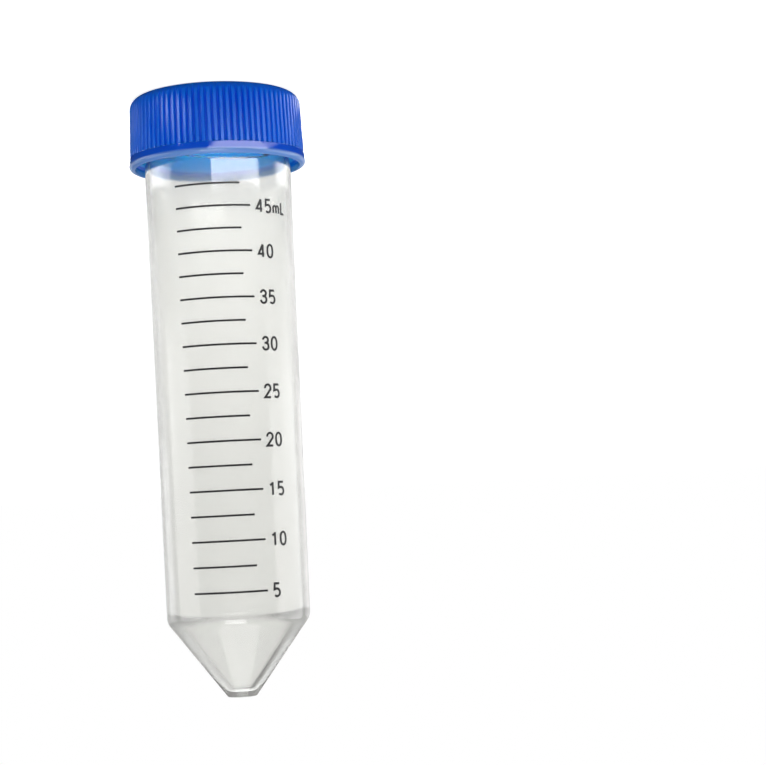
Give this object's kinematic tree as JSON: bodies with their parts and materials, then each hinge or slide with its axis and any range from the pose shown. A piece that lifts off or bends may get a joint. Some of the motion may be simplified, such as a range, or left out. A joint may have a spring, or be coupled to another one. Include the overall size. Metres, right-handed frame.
{
  "type": "50 ml conical tube",
  "caption": "Clear frosted laboratory tube with a conical closed end, a printed volume scale and a ribbed blue screw cap; stands upside down on the cap.",
  "frame": {"origin": "centre of the cap's flat outer face, on which the tube stands upside down", "axes": "+Z along the tube's axis from the cap towards the conical tip; -Y is the side with the printed scale"},
  "size_m": [0.0352, 0.0352, 0.1195],
  "materials": {
    "blue_plastic": "satin moulded polyethylene, opaque royal blue",
    "clear_plastic": "natural polypropylene, translucent, slightly frosted",
    "seal_rubber": "soft white elastomer",
    "black_ink": "printed black ink"
  },
  "bodies": {
    "cap": {"cap": "blue_plastic"},
    "seal_ring": {"seal_ring": "seal_rubber"},
    "tube": {"tube": "clear_plastic", "scale_lines": "black_ink", "scale_numerals": "black_ink"}
  },
  "joints": [
    {"name": "unscrew", "type": "hinge", "parent": "cap", "child": "seal_ring", "pos_m": [0, 0, 0], "axis": [0, 0, 1], "range_deg": [0, 720]},
    {"name": "rise", "type": "slide", "parent": "seal_ring", "child": "tube", "axis": [0, 0, 1], "range_m": [0, 0.0128]}
  ],
  "couplings": [
    {"joint": "rise", "follows": "unscrew", "m_per_rad": 0.0010186}
  ]
}
